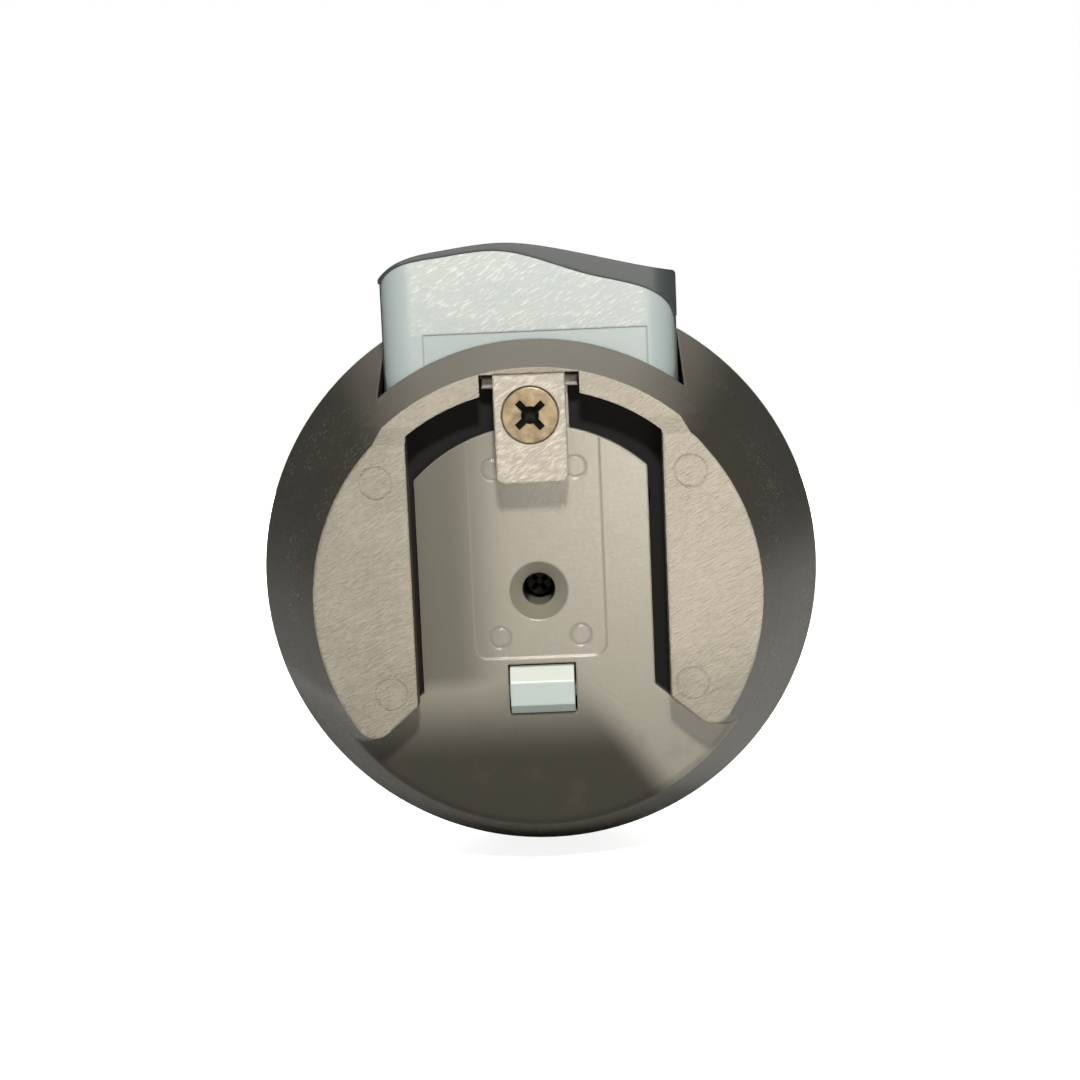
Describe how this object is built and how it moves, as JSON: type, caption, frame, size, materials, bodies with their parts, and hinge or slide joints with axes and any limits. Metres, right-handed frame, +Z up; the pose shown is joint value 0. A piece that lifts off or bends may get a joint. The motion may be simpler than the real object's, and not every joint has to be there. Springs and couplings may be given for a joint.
{
  "type": "parking meter",
  "caption": "Compact round electronic parking meter head with a sliding dock on its back, a wide release button and a sprung latch.",
  "frame": {"origin": "on the housing's axis, in the plane of the dock floor that the bracket's tongue slides on", "axes": "+Z up with the meter docked, +Y from the dock floor to the front with the display, +X to the right as the back is seen"},
  "size_m": [0.092, 0.0513, 0.1],
  "materials": {
    "shell": "fine spark-eroded black ABS-PC, satin on the shoulder",
    "button": "light blue-grey acetal, spark-eroded back face, smooth rounded ends",
    "cap": "dark slate soft-touch overmould",
    "clip": "coarse-textured black glass-filled nylon",
    "zinc": "yellow zinc plated steel",
    "steel": "zinc plated steel",
    "spring_steel": "drawn spring wire",
    "inner_black": "plain black moulding",
    "seal": "black silicone rubber",
    "front": "dark grey moulding",
    "fascia": "gloss printed front plate",
    "lens": "clear hard-coated window",
    "display": "reflective liquid crystal cell",
    "white": "white moulding",
    "key": "light grey silicone key",
    "ok_key": "green silicone key",
    "board": "green solder mask on glass-epoxy",
    "chips": "black moulded packages",
    "cell": "sleeved metal can",
    "nickel": "nickel plated spring steel",
    "flex": "amber polyimide flex with a printed coil",
    "pipe": "clear polycarbonate light pipe"
  },
  "bodies": {
    "head": {"rear_shell": "shell", "retainer_clip": "clip", "retainer_screw": "zinc", "case_screw": "steel", "latch_spring": "spring_steel", "return_springs": "spring_steel", "inner_chassis": "inner_black", "slot_shield": "inner_black", "chassis_screws": "steel", "perimeter_seal": "seal", "front_shell": "front", "fascia": "fascia", "window_lens": "lens", "lens_gasket": "seal", "display_panel": "display", "display_frame": "white", "tap_antenna": "flex", "status_light": "pipe", "sounder": "chips", "main_board": "board", "board_components": "chips", "key_switches": "chips", "board_screws": "steel", "battery_cells": "cell", "battery_tray": "inner_black", "battery_contacts": "nickel"},
    "release": {"release_button": "button", "button_cap": "cap", "release_slider": "inner_black"},
    "latch": {"latch_bolt": "button"},
    "minus_key": {"key_minus": "key"},
    "ok_key": {"key_ok": "ok_key"},
    "plus_key": {"key_plus": "key"}
  },
  "joints": [
    {"name": "release_press", "type": "slide", "parent": "head", "child": "release", "axis": [0, 0, -1], "range_m": [0, 0.0035], "stiffness_N_per_m": 900, "springref_m": -0.002, "deforming": ["return_springs"]},
    {"name": "latch_retract", "type": "slide", "parent": "head", "child": "latch", "axis": [0, 1, 0], "range_m": [0, 0.0026], "stiffness_N_per_m": 300, "springref_m": -0.002, "deforming": ["latch_spring"]},
    {"name": "key_minus_press", "type": "slide", "parent": "head", "child": "minus_key", "axis": [0, -1, 0], "range_m": [0, 0.0008], "stiffness_N_per_m": 800, "springref_m": -0.0005},
    {"name": "key_ok_press", "type": "slide", "parent": "head", "child": "ok_key", "axis": [0, -1, 0], "range_m": [0, 0.0008], "stiffness_N_per_m": 800, "springref_m": -0.0005},
    {"name": "key_plus_press", "type": "slide", "parent": "head", "child": "plus_key", "axis": [0, -1, 0], "range_m": [0, 0.0008], "stiffness_N_per_m": 800, "springref_m": -0.0005}
  ],
  "couplings": [
    {"joint": "latch_retract", "follows": "release_press", "ratio": 0.74286}
  ]
}
